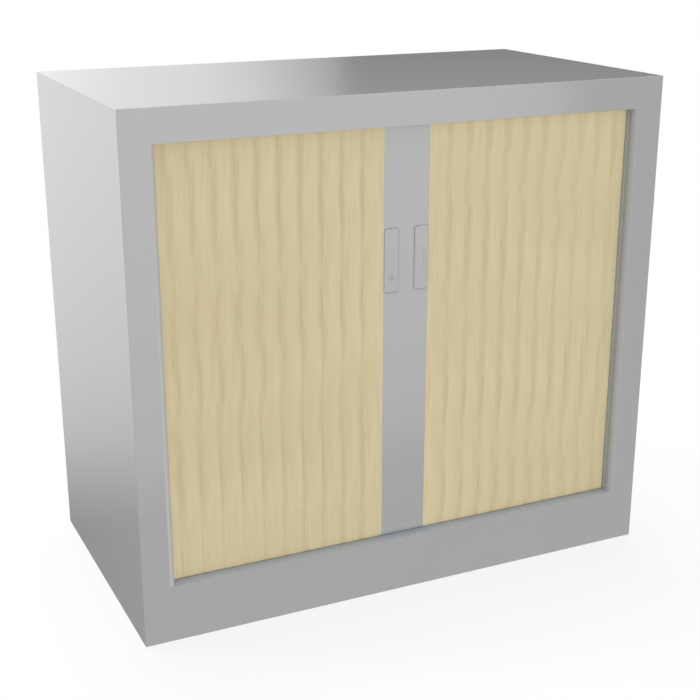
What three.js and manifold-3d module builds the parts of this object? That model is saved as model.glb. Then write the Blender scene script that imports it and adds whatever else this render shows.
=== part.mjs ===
// A desk-high steel cupboard closed by two side-opening tambour curtains of wood-effect slats.
// Millimetres, +Z up, the front faces -Y, and the origin is on the floor under the middle.
import * as THREE from "three";
import { mergeVertices } from "three/addons/utils/BufferGeometryUtils.js";
import Module from "manifold-3d";

const wasm = await Module();
wasm.setup();

// Carcass
const WIDTH = 800;
const DEPTH = 430;
const HEIGHT = 726;
const SHEET = 1.2;
const FLOOR_GAP = 1;
const PANEL_FLANGE = 18;
const TRAY_FLANGE = 15;

// Welded front frame
const STILE_WIDTH = 46;
const TOP_RAIL_HEIGHT = 44.6;
const BOTTOM_RAIL_HEIGHT = 83.4;
const RETURN_DEPTH = 16;
const STILE_RETURN_DEPTH = 12;
const ROLL_RADIUS = 8;
const HEM_HEIGHT = 6;

// Gaps between pieces, and how far a cutter runs past what it cuts
const FIT = 0.3;
const GUIDE_GAP = 0.5;
const MOUTH_GAP = 4;
const OVERRUN = 5;

// Curtains
const CURTAIN_RECESS = 20;
const LEAD_WIDTH = 34.5;
const LEAD_DEPTH = 20;
const LEAD_WALL = 1.4;
const LEAD_EDGE_RADIUS = 0.3;
const SLAT_PITCH = 30;
const SLAT_THICKNESS = 1.4;
const SLAT_CROWN = 0.8;
const SLAT_LIP = 1;
const SLAT_EASE_WIDTH = 3.2;
const SLAT_EASE_DEPTH = 1;
const STACK_STEP = 5;

// Guide tracks, and the floor and ceiling that carry them
const FLOOR_DROP = 13.4;
const CEILING_RISE = 12.9;
const TRACK_BED = 2;
const TRACK_WIDTH = 12;
const TRACK_LIP_WALL = 2;
const BOTTOM_LIP_HEIGHT = 11.4;
const TRACK_LIP_HEIGHT = 6;
const TRACK_CORNER_RADIUS = 15;

// Handles, each on the front of its closing profile
const PULL_WIDTH = 22;
const PULL_HEIGHT = 91;
const PULL_BOTTOM = 450;
const PULL_CENTRE = 23;
const PULL_PROUD = 3.5;
const PULL_CORNER_RADIUS = 4;
const PULL_EDGE_RADIUS = 2.8;
const GROOVE_WIDTH = 6;
const GROOVE_HEIGHT = 34;
const GROOVE_DEPTH = 0.8;
const GROOVE_CORNER_RADIUS = 2.5;
const GROOVE_ABOVE_LOCK = 6;
const PEG_RADIUS = 2.5;
const PEG_END = 1;
const PEG_INSET = 7.5;

// Lock in the left handle
const LOCK_ABOVE_PULL_BOTTOM = 22;
const LOCK_HEAD_RADIUS = 5;
const LOCK_HEAD_PROUD = 0.5;
const BARREL_RADIUS = 4;
const STUB_RADIUS = 3.5;
const STUB_LENGTH = 4;
const KEYWAY_LENGTH = 3;
const KEYWAY_WIDTH = 0.6;
const KEYWAY_DEPTH = 1;
const CAM_SETBACK = 14.5;
const CAM_THICKNESS = 2;
const CAM_WIDTH = 9;
const CAM_REACH = 6;
const HOOK_RISE = 5.5;
const HOOK_WIDTH = 3;
const CAM_SLOT_RISE = 6;
const CAM_SLOT_DROP = 24;
const CAM_SLOT_WIDTH = 5;
const KEEPER_WALL = 1;
const KEEPER_MARGIN = 5;

// Inner side walls and the shelf
const LINER_INSET = 1;
const LINER_FRONT_FLANGE = 10;
const LINER_BACK_FLANGE = 12;
const SLOT_HEIGHT = 2.4;
const SLOT_PITCH = 40;
const SLOT_ROW_SETBACK = 28;
const SLOT_END_MARGIN = 45;
const CLIP_WIDTH = 16;
const CLIP_WALL = 1.8;
const CLIP_LEDGE = 11;
const CLIP_HOOK = 6;
const SHELF_SETBACK = 6;
const SHELF_SIDE_GAP = 0.8;
const SHELF_LIP = 25;
const SHELF_SLOT = 6;

// Plinth rails and levelling feet
const PLINTH_RAIL_WIDTH = 50;
const PLINTH_RAIL_WALL = 1.5;
const PLINTH_RAIL_SETBACK = 14;
const PLINTH_RAIL_BOTTOM = 9;
const FOOT_INSET = 32;
const PAD_RADIUS = 16;
const PAD_HEIGHT = 6;
const PAD_BEVEL = 1.5;
const STUD_RADIUS = 4;
const STUD_HEIGHT = 45;
const SHOULDER_RADIUS = 7;
const NUT_BODY_RADIUS = 6.7;
const NUT_FLANGE_RADIUS = 11;
const NUT_FLANGE_HEIGHT = 1.5;
const NUT_HUB_HEIGHT = 12;

// Smoothness of round shapes
const ROUND_SEGMENTS = 24;
const ARC_SEGMENTS = 6;
const SLAT_SEGMENTS = 8;

// Planes of the carcass
const halfWidth = WIDTH / 2;
const front = -DEPTH / 2;
const back = DEPTH / 2;
const frontInside = front + SHEET;
const backInside = back - SHEET;
const sideInside = halfWidth - SHEET;
const topUnder = HEIGHT - SHEET;
const trayBack = backInside - SHEET - FIT;

// Planes of the opening, the floor and the ceiling
const openingHalf = halfWidth - STILE_WIDTH;
const openingBottom = BOTTOM_RAIL_HEIGHT;
const openingTop = HEIGHT - TOP_RAIL_HEIGHT;
const returnBack = front + RETURN_DEPTH;
const stileBack = front + STILE_RETURN_DEPTH;
const floorTop = openingBottom - FLOOR_DROP;
const ceilingUnder = openingTop + CEILING_RISE;

// Planes and counts of the curtains
const curtainFront = front + CURTAIN_RECESS;
const slatBottom = floorTop + TRACK_BED + FIT;
const slatTop = ceilingUnder - TRACK_BED - FIT;
const slatCount = Math.ceil((openingHalf - LEAD_WIDTH) / SLAT_PITCH);
const slatSlope = (SLAT_THICKNESS + FIT) / SLAT_PITCH;
const stackDepth = (slatCount - 1) * STACK_STEP;
const slatDepth = slatSlope * SLAT_PITCH + SLAT_THICKNESS;
const mouthFront = curtainFront + stackDepth + slatDepth + MOUTH_GAP;

// Places of the handles and the lock
const pullFront = curtainFront - PULL_PROUD;
const pullBack = curtainFront - FIT;
const pullMiddle = PULL_BOTTOM + PULL_HEIGHT / 2;
const pegHeights = [PULL_BOTTOM + PEG_INSET, PULL_BOTTOM + PULL_HEIGHT - PEG_INSET];
const lockHeight = PULL_BOTTOM + LOCK_ABOVE_PULL_BOTTOM;
const camFront = curtainFront + CAM_SETBACK;
const camLength = PULL_CENTRE + CAM_REACH;

// Places of the inner side walls, the shelf and the feet
const linerOutside = openingHalf - LINER_INSET;
const linerInside = linerOutside - SHEET;
const frontSlotRow = mouthFront + SLOT_ROW_SETBACK;
const backSlotRow = trayBack - SLOT_ROW_SETBACK;
const firstSlot = floorTop + SLOT_END_MARGIN;
const slotCount = Math.floor((ceilingUnder - SLOT_END_MARGIN - firstSlot) / SLOT_PITCH) + 1;
const ledgeTop = firstSlot + SHELF_SLOT * SLOT_PITCH + CLIP_WALL / 2;
const footX = halfWidth - FOOT_INSET;
const footY = back - FOOT_INSET;

// Finishes
const finishes = {
  paint: new THREE.MeshStandardMaterial({ color: 0xb4b4b4, roughness: 0.42, metalness: 0.35 }),
  inside: new THREE.MeshStandardMaterial({ color: 0xa8a8a8, roughness: 0.5, metalness: 0.3 }),
  slat: new THREE.MeshStandardMaterial({ color: 0xcfc09b, roughness: 0.55, metalness: 0 }),
  profile: new THREE.MeshStandardMaterial({ color: 0xb2b2b2, roughness: 0.45, metalness: 0.25 }),
  handle: new THREE.MeshStandardMaterial({ color: 0xb4b4b4, roughness: 0.4, metalness: 0.1 }),
  lock: new THREE.MeshStandardMaterial({ color: 0xc8c8c8, roughness: 0.25, metalness: 0.9 }),
  zinc: new THREE.MeshStandardMaterial({ color: 0xbdbfc0, roughness: 0.35, metalness: 0.8 }),
  track: new THREE.MeshStandardMaterial({ color: 0x86878a, roughness: 0.6, metalness: 0 }),
  foot: new THREE.MeshStandardMaterial({ color: 0x1e1f20, roughness: 0.7, metalness: 0 }),
};

// Strips a geometry to its positions and joins the vertices that its faces share.
function bare(geometry) {
  const copy = geometry.clone();
  copy.deleteAttribute("normal");
  copy.deleteAttribute("uv");
  return mergeVertices(copy);
}

// Turns a closed geometry into a solid that can be joined and cut.
function solid(geometry) {
  const source = bare(geometry);
  const numProp = 3;
  const vertProperties = new Float32Array(source.attributes.position.array);
  const triVerts = new Uint32Array(source.index.array);
  return new wasm.Manifold(new wasm.Mesh({ numProp, vertProperties, triVerts }));
}

// Turns a joined or cut solid back into a geometry.
function geometryOf(body) {
  const mesh = body.getMesh();
  const geometry = new THREE.BufferGeometry();
  const positions = new THREE.BufferAttribute(new Float32Array(mesh.vertProperties), 3);
  geometry.setAttribute("position", positions);
  geometry.setIndex(new THREE.BufferAttribute(new Uint32Array(mesh.triVerts), 1));
  geometry.computeVertexNormals();
  return geometry;
}

// Joins closed geometries into one.
function joined(pieces) {
  return geometryOf(pieces.map(solid).reduce((whole, piece) => whole.add(piece)));
}

// Cuts each cutter out of a closed geometry.
function cut(body, cutters) {
  return geometryOf(cutters.map(solid).reduce((whole, cutter) => whole.subtract(cutter), solid(body)));
}

// The mirror image of a geometry across the plane X = 0, with its faces still pointing out.
function mirrored(geometry) {
  const image = bare(geometry);
  image.scale(-1, 1, 1);
  const corners = image.index.array;
  for (let i = 0; i < corners.length; i += 3) {
    [corners[i + 1], corners[i + 2]] = [corners[i + 2], corners[i + 1]];
  }
  image.computeVertexNormals();
  return image;
}

// A box between two opposite corners.
function block([x0, y0, z0], [x1, y1, z1]) {
  const geometry = new THREE.BoxGeometry(x1 - x0, y1 - y0, z1 - z0);
  return geometry.translate((x0 + x1) / 2, (y0 + y1) / 2, (z0 + z1) / 2);
}

// A closed outline through points given as [first, second] pairs.
function outline(points) {
  return new THREE.Shape(points.map(([a, b]) => new THREE.Vector2(a, b)));
}

// A rectangle with rounded corners, centred on the origin.
function roundedRectangle(width, height, radius) {
  const shape = new THREE.Shape();
  const x = width / 2 - radius;
  const y = height / 2 - radius;
  const quarter = Math.PI / 2;
  shape.absarc(x, y, radius, 0, quarter);
  shape.absarc(-x, y, radius, quarter, 2 * quarter);
  shape.absarc(-x, -y, radius, 2 * quarter, 3 * quarter);
  shape.absarc(x, -y, radius, 3 * quarter, 4 * quarter);
  return shape;
}

// Pulls an outline into a solid between two distances along its normal.
function pulled(shape, from, to) {
  const settings = { depth: to - from, bevelEnabled: false, curveSegments: ARC_SEGMENTS };
  return new THREE.ExtrudeGeometry(shape, settings).translate(0, 0, from);
}

// A solid along X from an outline in (y, z).
function alongX(shape, from, to) {
  const turn = new THREE.Matrix4().set(0, 0, 1, 0, 1, 0, 0, 0, 0, 1, 0, 0, 0, 0, 0, 1);
  return pulled(shape, from, to).applyMatrix4(turn);
}

// A solid along Y from an outline in (x, z).
function alongY(shape, from, to) {
  const turn = new THREE.Matrix4().set(1, 0, 0, 0, 0, 0, -1, 0, 0, 1, 0, 0, 0, 0, 0, 1);
  return pulled(shape, -to, -from).applyMatrix4(turn);
}

// A solid of revolution about Z from a closed profile in (radius, height).
function turned(points) {
  const profile = points.map(([radius, height]) => new THREE.Vector2(radius, height));
  return new THREE.LatheGeometry(profile, ROUND_SEGMENTS);
}

// A cylinder along Y between two planes.
function rodAlongY(radius, x, z, from, to) {
  const rod = new THREE.CylinderGeometry(radius, radius, to - from, ROUND_SEGMENTS);
  return rod.translate(x, (from + to) / 2, z);
}

// A named piece of the cupboard.
function piece(name, geometry, finish) {
  const mesh = new THREE.Mesh(geometry, finish);
  mesh.name = name;
  return mesh;
}

// Two mirror-image pieces, made from the right-hand one.
function pair(name, rightGeometry, finish) {
  return [
    piece(`${name}_left`, mirrored(rightGeometry), finish),
    piece(`${name}_right`, rightGeometry, finish),
  ];
}

// One stile's rolled inner edge: the face turns back round an arc and ends in a flat return.
function stileReturn() {
  const outer = openingHalf + ROLL_RADIUS;
  const centreY = front + ROLL_RADIUS;
  const shape = new THREE.Shape();
  shape.moveTo(outer, front);
  shape.absarc(outer, centreY, ROLL_RADIUS, -Math.PI / 2, -Math.PI, true);
  shape.lineTo(openingHalf, stileBack);
  shape.lineTo(openingHalf + SHEET, stileBack);
  shape.lineTo(openingHalf + SHEET, centreY);
  shape.absarc(outer, centreY, ROLL_RADIUS - SHEET, -Math.PI, -Math.PI / 2, false);
  return pulled(shape, openingBottom - SHEET, openingTop + SHEET);
}

// One rail's inner edge: the face turns back square and ends in a short hem.
function railReturn(edge, away) {
  const half = openingHalf + ROLL_RADIUS;
  const plate = [
    [front, edge],
    [returnBack, edge],
    [returnBack, edge + away * HEM_HEIGHT],
    [returnBack - SHEET, edge + away * HEM_HEIGHT],
    [returnBack - SHEET, edge + away * SHEET],
    [front, edge + away * SHEET],
  ];
  return alongX(outline(plate), -half, half);
}

// The welded front frame: a plain face round the opening with its edges turned back.
function frontFrame() {
  const half = openingHalf + ROLL_RADIUS;
  const face = outline([
    [-halfWidth, FLOOR_GAP],
    [halfWidth, FLOOR_GAP],
    [halfWidth, HEIGHT],
    [-halfWidth, HEIGHT],
  ]);
  face.holes.push(
    outline([
      [-half, openingBottom],
      [-half, openingTop],
      [half, openingTop],
      [half, openingBottom],
    ]),
  );
  const stile = stileReturn();
  return joined([
    alongY(face, front, frontInside),
    stile,
    mirrored(stile),
    railReturn(openingBottom, -1),
    railReturn(openingTop, 1),
  ]);
}

// A side panel: an outer sheet with its rear edge folded behind the back panel.
function sidePanel() {
  const shape = outline([
    [halfWidth, frontInside],
    [halfWidth, back],
    [sideInside - PANEL_FLANGE, back],
    [sideInside - PANEL_FLANGE, backInside],
    [sideInside, backInside],
    [sideInside, frontInside],
  ]);
  return pulled(shape, FLOOR_GAP, topUnder);
}

// The top panel, with a flange folded down inside each side panel.
function topPanel() {
  const sheet = block([-halfWidth, frontInside, topUnder], [halfWidth, back, HEIGHT]);
  const flange = block(
    [sideInside - SHEET, frontInside, topUnder - TRAY_FLANGE],
    [sideInside, trayBack, HEIGHT - SHEET / 2],
  );
  return joined([sheet, flange, mirrored(flange)]);
}

// The back panel, inside the folded rear edges of the side panels.
function backPanel() {
  const half = sideInside - FIT;
  return block([-half, backInside - SHEET, FLOOR_GAP], [half, backInside, topUnder]);
}

// A tray across the carcass, from the front frame to the back panel, with two folded edges.
function tray(level, away) {
  const half = sideInside - SHEET - FIT;
  const fold = level + away * TRAY_FLANGE;
  const section = outline([
    [frontInside, level],
    [trayBack, level],
    [trayBack, fold],
    [trayBack - SHEET, fold],
    [trayBack - SHEET, level + away * SHEET],
    [frontInside + SHEET, level + away * SHEET],
    [frontInside + SHEET, fold],
    [frontInside, fold],
  ]);
  return alongX(section, -half, half);
}

// The straight front run of a guide: a flat bed with a lip in front of the slats.
function frontTrack(bedLevel, lipWay, lipHeight) {
  const half = sideInside - FIT - TRACK_CORNER_RADIUS - FIT;
  const lipFront = returnBack + GUIDE_GAP;
  const section = outline([
    [lipFront, bedLevel],
    [lipFront + TRACK_WIDTH, bedLevel],
    [lipFront + TRACK_WIDTH, bedLevel + lipWay * TRACK_BED],
    [lipFront + TRACK_LIP_WALL, bedLevel + lipWay * TRACK_BED],
    [lipFront + TRACK_LIP_WALL, bedLevel + lipWay * (TRACK_BED + lipHeight)],
    [lipFront, bedLevel + lipWay * (TRACK_BED + lipHeight)],
  ]);
  return alongX(section, -half, half);
}

// The plan of a side guide: round the front corner and back along the side panel.
function sideTrackPlan(width) {
  const outer = sideInside - FIT;
  const lipFront = returnBack + GUIDE_GAP;
  const x = outer - TRACK_CORNER_RADIUS;
  const y = lipFront + TRACK_CORNER_RADIUS;
  const shape = new THREE.Shape();
  shape.moveTo(x, lipFront);
  shape.absarc(x, y, TRACK_CORNER_RADIUS, -Math.PI / 2, 0, false);
  shape.lineTo(outer, trayBack);
  shape.lineTo(outer - width, trayBack);
  shape.lineTo(outer - width, y);
  shape.absarc(x, y, TRACK_CORNER_RADIUS - width, 0, -Math.PI / 2, true);
  return shape;
}

// The corner and side run of a guide, on the right-hand side.
function sideTrack(bedLevel, lipWay) {
  const bedEnd = bedLevel + lipWay * TRACK_BED;
  const lipEnd = bedEnd + lipWay * TRACK_LIP_HEIGHT;
  return joined([
    pulled(sideTrackPlan(TRACK_WIDTH), Math.min(bedLevel, bedEnd), Math.max(bedLevel, bedEnd)),
    pulled(sideTrackPlan(TRACK_LIP_WALL), Math.min(bedLevel, lipEnd), Math.max(bedLevel, lipEnd)),
  ]);
}

// The slots of an inner side wall, in a front and a back row.
function linerSlots() {
  const slots = [];
  const half = (CLIP_WIDTH + 2 * FIT) / 2;
  for (const row of [frontSlotRow, backSlotRow]) {
    for (let i = 0; i < slotCount; i += 1) {
      const middle = firstSlot + i * SLOT_PITCH;
      slots.push(
        block(
          [linerInside - OVERRUN, row - half, middle - SLOT_HEIGHT / 2],
          [linerOutside + OVERRUN, row + half, middle + SLOT_HEIGHT / 2],
        ),
      );
    }
  }
  return slots;
}

// The right-hand inner side wall, with its edges folded towards the side panel.
function liner() {
  const frontFold = linerOutside + LINER_FRONT_FLANGE;
  const backFold = linerOutside + LINER_BACK_FLANGE;
  const shape = outline([
    [linerInside, mouthFront],
    [frontFold, mouthFront],
    [frontFold, mouthFront + SHEET],
    [linerOutside, mouthFront + SHEET],
    [linerOutside, trayBack - SHEET],
    [backFold, trayBack - SHEET],
    [backFold, trayBack],
    [linerInside, trayBack],
  ]);
  return cut(pulled(shape, floorTop, ceilingUnder - FIT), linerSlots());
}

// A shelf clip: a ledge whose tongue passes through a slot and hooks up behind the wall.
function shelfClip(row) {
  const ledgeUnder = ledgeTop - CLIP_WALL;
  const hookFront = linerOutside + FIT;
  const section = outline([
    [linerInside - CLIP_LEDGE, ledgeUnder],
    [hookFront + CLIP_WALL, ledgeUnder],
    [hookFront + CLIP_WALL, ledgeTop + CLIP_HOOK],
    [hookFront, ledgeTop + CLIP_HOOK],
    [hookFront, ledgeTop],
    [linerInside - CLIP_LEDGE, ledgeTop],
  ]);
  return alongY(section, row - CLIP_WIDTH / 2, row + CLIP_WIDTH / 2);
}

// The shelf: a sheet with its front and back edges folded down.
function shelf() {
  const half = linerInside - SHELF_SIDE_GAP;
  const start = mouthFront + SHELF_SETBACK;
  const end = trayBack - SHELF_SETBACK;
  const under = ledgeTop + SHEET - SHELF_LIP;
  const section = outline([
    [start, ledgeTop + SHEET],
    [start, under],
    [start + SHEET, under],
    [start + SHEET, ledgeTop],
    [end - SHEET, ledgeTop],
    [end - SHEET, under],
    [end, under],
    [end, ledgeTop + SHEET],
  ]);
  return alongX(section, -half, half);
}

// A plinth rail under one side of the floor, with a hole for each foot's nut.
function plinthRail() {
  const inner = sideInside - PLINTH_RAIL_WIDTH;
  const top = floorTop - SHEET;
  const section = outline([
    [inner, PLINTH_RAIL_BOTTOM],
    [sideInside, PLINTH_RAIL_BOTTOM],
    [sideInside, top],
    [inner, top],
    [inner, top - PLINTH_RAIL_WALL],
    [sideInside - PLINTH_RAIL_WALL, top - PLINTH_RAIL_WALL],
    [sideInside - PLINTH_RAIL_WALL, PLINTH_RAIL_BOTTOM + PLINTH_RAIL_WALL],
    [inner, PLINTH_RAIL_BOTTOM + PLINTH_RAIL_WALL],
  ]);
  const hole = () => turned([
    [0, PLINTH_RAIL_BOTTOM - OVERRUN],
    [NUT_BODY_RADIUS + FIT, PLINTH_RAIL_BOTTOM - OVERRUN],
    [NUT_BODY_RADIUS + FIT, PLINTH_RAIL_BOTTOM + OVERRUN],
    [0, PLINTH_RAIL_BOTTOM + OVERRUN],
  ]).rotateX(Math.PI / 2);
  const rail = alongY(section, front + PLINTH_RAIL_SETBACK, trayBack - SHEET - FIT);
  return cut(rail, [-footY, footY].map((y) => hole().translate(footX, y, 0)));
}

// A foot's nut, seated in the rail's lower flange.
function footNut() {
  const bore = STUD_RADIUS + FIT;
  const seat = PLINTH_RAIL_BOTTOM + PLINTH_RAIL_WALL;
  return turned([
    [bore, PLINTH_RAIL_BOTTOM],
    [NUT_BODY_RADIUS, PLINTH_RAIL_BOTTOM],
    [NUT_BODY_RADIUS, seat],
    [NUT_FLANGE_RADIUS, seat],
    [NUT_FLANGE_RADIUS, seat + NUT_FLANGE_HEIGHT],
    [NUT_BODY_RADIUS, seat + NUT_FLANGE_HEIGHT],
    [NUT_BODY_RADIUS, seat + NUT_HUB_HEIGHT],
    [bore, seat + NUT_HUB_HEIGHT],
    [bore, PLINTH_RAIL_BOTTOM],
  ]).rotateX(Math.PI / 2);
}

// A levelling foot: a pad, a shoulder that stops against the nut, and a stud.
function levellingFoot() {
  const stop = PLINTH_RAIL_BOTTOM - FIT;
  return turned([
    [0, 0],
    [PAD_RADIUS - PAD_BEVEL, 0],
    [PAD_RADIUS, PAD_BEVEL],
    [PAD_RADIUS, PAD_HEIGHT - PAD_BEVEL],
    [PAD_RADIUS - PAD_BEVEL, PAD_HEIGHT],
    [SHOULDER_RADIUS, PAD_HEIGHT],
    [SHOULDER_RADIUS, stop],
    [STUD_RADIUS, stop],
    [STUD_RADIUS, STUD_HEIGHT],
    [0, STUD_HEIGHT],
  ]).rotateX(Math.PI / 2);
}

// The section of a slat, crowned in front and leaning so that its outer edge covers the next slat.
function slatSection() {
  const inner = -SLAT_PITCH / 2 + FIT;
  const outer = SLAT_PITCH / 2 + SLAT_LIP;
  const middle = (inner + outer) / 2;
  const half = (outer - inner) / 2;
  const eased = outer - SLAT_EASE_WIDTH;
  const steps = [];
  for (let i = 0; i < SLAT_SEGMENTS; i += 1) {
    steps.push(inner + ((eased - inner) * i) / SLAT_SEGMENTS);
  }
  for (let i = 0; i <= ARC_SEGMENTS; i += 1) {
    steps.push(eased + SLAT_EASE_WIDTH * Math.sin((i / ARC_SEGMENTS) * (Math.PI / 2)));
  }
  const rise = (x) => slatSlope * (outer - x) - SLAT_CROWN * (1 - ((x - middle) / half) ** 2);
  const ease = (x) => {
    const share = Math.max(0, Math.min(1, (x - eased) / SLAT_EASE_WIDTH));
    return SLAT_EASE_DEPTH * (1 - Math.sqrt(1 - share * share));
  };
  const face = steps.map((x) => [x, rise(x) + ease(x)]);
  const rear = steps.map((x) => [x, rise(x) + SLAT_THICKNESS]).reverse();
  return outline([...face, ...rear]);
}

// The section of a closing profile: a channel, open at the back.
function leadSection() {
  const inner = FIT / 2;
  const rear = curtainFront + LEAD_DEPTH;
  const arc = curtainFront + LEAD_EDGE_RADIUS;
  const shape = new THREE.Shape();
  shape.moveTo(inner, rear);
  shape.absarc(inner + LEAD_EDGE_RADIUS, arc, LEAD_EDGE_RADIUS, Math.PI, 1.5 * Math.PI, false);
  shape.absarc(LEAD_WIDTH - LEAD_EDGE_RADIUS, arc, LEAD_EDGE_RADIUS, 1.5 * Math.PI, 2 * Math.PI, false);
  shape.lineTo(LEAD_WIDTH, rear);
  shape.lineTo(LEAD_WIDTH - LEAD_WALL, rear);
  shape.lineTo(LEAD_WIDTH - LEAD_WALL, curtainFront + LEAD_WALL);
  shape.lineTo(inner + LEAD_WALL, curtainFront + LEAD_WALL);
  shape.lineTo(inner + LEAD_WALL, rear);
  return shape;
}

// The window that the lock's cam passes through, across both meeting walls.
function camWindow(from, to) {
  const middle = camFront + CAM_THICKNESS / 2;
  return block(
    [from, middle - CAM_SLOT_WIDTH / 2, lockHeight - CAM_SLOT_DROP],
    [to, middle + CAM_SLOT_WIDTH / 2, lockHeight + CAM_SLOT_RISE],
  );
}

// A closing profile, with the holes for its handle's pegs and the window for the cam.
function lead() {
  const wallBack = curtainFront + LEAD_WALL + OVERRUN;
  const holes = pegHeights.map((z) => rodAlongY(PEG_RADIUS + FIT, PULL_CENTRE, z, pullBack, wallBack));
  const channel = pulled(leadSection(), slatBottom, slatTop);
  return cut(channel, [...holes, camWindow(-OVERRUN, FIT / 2 + LEAD_WALL + OVERRUN)]);
}

// The left closing profile also has a hole for the lock barrel.
function leadWithLock() {
  const radius = BARREL_RADIUS + FIT;
  const wallBack = curtainFront + LEAD_WALL + OVERRUN;
  return cut(mirrored(lead()), [rodAlongY(radius, -PULL_CENTRE, lockHeight, pullBack, wallBack)]);
}

// The steel plate behind the right profile's window, which the cam's hook catches.
function lockKeeper() {
  const start = FIT / 2 + LEAD_WALL;
  const middle = camFront + CAM_THICKNESS / 2;
  const half = CAM_SLOT_WIDTH / 2 + KEEPER_MARGIN / 2;
  const plate = block(
    [start, middle - half, lockHeight - CAM_SLOT_DROP - KEEPER_MARGIN],
    [start + KEEPER_WALL, middle + half, lockHeight + CAM_SLOT_RISE + KEEPER_MARGIN],
  );
  return cut(plate, [camWindow(start - OVERRUN, start + KEEPER_WALL + OVERRUN)]);
}

// The body of a handle, centred on X = 0: a plate with its front edges rounded over.
function pullBody() {
  const settings = {
    depth: PULL_PROUD,
    bevelThickness: PULL_EDGE_RADIUS,
    bevelSize: PULL_EDGE_RADIUS,
    bevelOffset: -PULL_EDGE_RADIUS,
    bevelSegments: ARC_SEGMENTS,
    curveSegments: ARC_SEGMENTS,
  };
  const face = roundedRectangle(PULL_WIDTH, PULL_HEIGHT, PULL_CORNER_RADIUS);
  const body = new THREE.ExtrudeGeometry(face, settings);
  body.rotateX(Math.PI / 2).translate(0, pullFront + PULL_PROUD + PULL_EDGE_RADIUS, pullMiddle);
  const half = PULL_WIDTH / 2 + OVERRUN;
  const behind = block(
    [-half, pullBack, PULL_BOTTOM - OVERRUN],
    [half, pullBack + PULL_PROUD + PULL_EDGE_RADIUS * 2, PULL_BOTTOM + PULL_HEIGHT + OVERRUN],
  );
  return cut(body, [behind]);
}

// The right handle, centred on X = 0: a groove in its front for the fingertips, and two pegs.
function rightPull() {
  const groove = alongY(
    roundedRectangle(GROOVE_WIDTH, GROOVE_HEIGHT, GROOVE_CORNER_RADIUS),
    pullFront - OVERRUN,
    pullFront + GROOVE_DEPTH,
  ).translate(0, 0, lockHeight + GROOVE_ABOVE_LOCK + GROOVE_HEIGHT / 2);
  const pegBack = curtainFront + LEAD_WALL + PEG_END;
  const pegs = pegHeights.map((z) => rodAlongY(PEG_RADIUS, 0, z, pullFront + PULL_PROUD / 2, pegBack));
  return joined([cut(pullBody(), [groove]), ...pegs]);
}

// The left handle also has a hole for the lock barrel.
function leftPull() {
  const hole = rodAlongY(BARREL_RADIUS + FIT, 0, lockHeight, pullFront - OVERRUN, pullBack + OVERRUN);
  return cut(mirrored(rightPull()), [hole]);
}

// The lock barrel about its own axis: a head with a keyway, a body and a stub for the cam.
function lockBarrel() {
  const seat = pullFront - FIT;
  const headFront = seat - LOCK_HEAD_PROUD;
  const bodyBack = camFront - FIT;
  const barrel = joined([
    rodAlongY(LOCK_HEAD_RADIUS, 0, lockHeight, headFront, seat),
    rodAlongY(BARREL_RADIUS, 0, lockHeight, headFront, bodyBack),
    rodAlongY(STUB_RADIUS, 0, lockHeight, pullBack, bodyBack + STUB_LENGTH),
  ]);
  const keyway = block(
    [-KEYWAY_WIDTH / 2, headFront - OVERRUN, lockHeight - KEYWAY_LENGTH / 2],
    [KEYWAY_WIDTH / 2, headFront + KEYWAY_DEPTH, lockHeight + KEYWAY_LENGTH / 2],
  );
  return cut(barrel, [keyway]);
}

// The cam, hanging down from the barrel: a tongue with a hook on the side that turns upwards.
function lockCam() {
  const half = CAM_WIDTH / 2;
  const shape = outline([
    [-half, half],
    [-half, -camLength],
    [half + HOOK_RISE, -camLength],
    [half + HOOK_RISE, HOOK_WIDTH - camLength],
    [half, HOOK_WIDTH - camLength],
    [half, half],
  ]);
  const tongue = alongY(shape, camFront, camFront + CAM_THICKNESS).translate(0, 0, lockHeight);
  const hole = rodAlongY(STUB_RADIUS + FIT, 0, lockHeight, camFront - OVERRUN, camFront + OVERRUN);
  return cut(tongue, [hole]);
}

// The slats of one side, from the one fixed to the closing profile to the one behind the stile.
function slats(side) {
  const rightSlat = pulled(slatSection(), slatBottom, slatTop);
  const geometry = side > 0 ? rightSlat : mirrored(rightSlat);
  const word = side > 0 ? "right" : "left";
  const row = [];
  for (let i = 0; i < slatCount; i += 1) {
    const number = String(i + 1).padStart(2, "0");
    const slat = piece(`slat_${word}_${number}`, geometry, finishes.slat);
    slat.position.set(side * (LEAD_WIDTH + (i + 0.5) * SLAT_PITCH), curtainFront, 0);
    row.push(slat);
  }
  return row;
}

// The fixed carcass.
function carcass() {
  const group = new THREE.Group();
  const { paint, inside, track } = finishes;
  group.add(
    piece("front_frame", frontFrame(), paint),
    ...pair("side_panel", sidePanel(), paint),
    piece("top_panel", topPanel(), paint),
    piece("back_panel", backPanel(), paint),
    piece("floor_panel", tray(floorTop, -1), inside),
    piece("ceiling_panel", tray(ceilingUnder, 1), inside),
    piece("bottom_track_front", frontTrack(floorTop, 1, BOTTOM_LIP_HEIGHT), track),
    ...pair("bottom_track", sideTrack(floorTop, 1), track),
    piece("top_track_front", frontTrack(ceilingUnder, -1, TRACK_LIP_HEIGHT), track),
    ...pair("top_track", sideTrack(ceilingUnder, -1), track),
    ...pair("inner_wall", liner(), inside),
  );
  return group;
}

// The shelf and its four clips.
function shelving() {
  const group = new THREE.Group();
  group.add(
    piece("shelf", shelf(), finishes.inside),
    ...pair("shelf_clip_front", shelfClip(frontSlotRow), finishes.zinc),
    ...pair("shelf_clip_back", shelfClip(backSlotRow), finishes.zinc),
  );
  return group;
}

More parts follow.
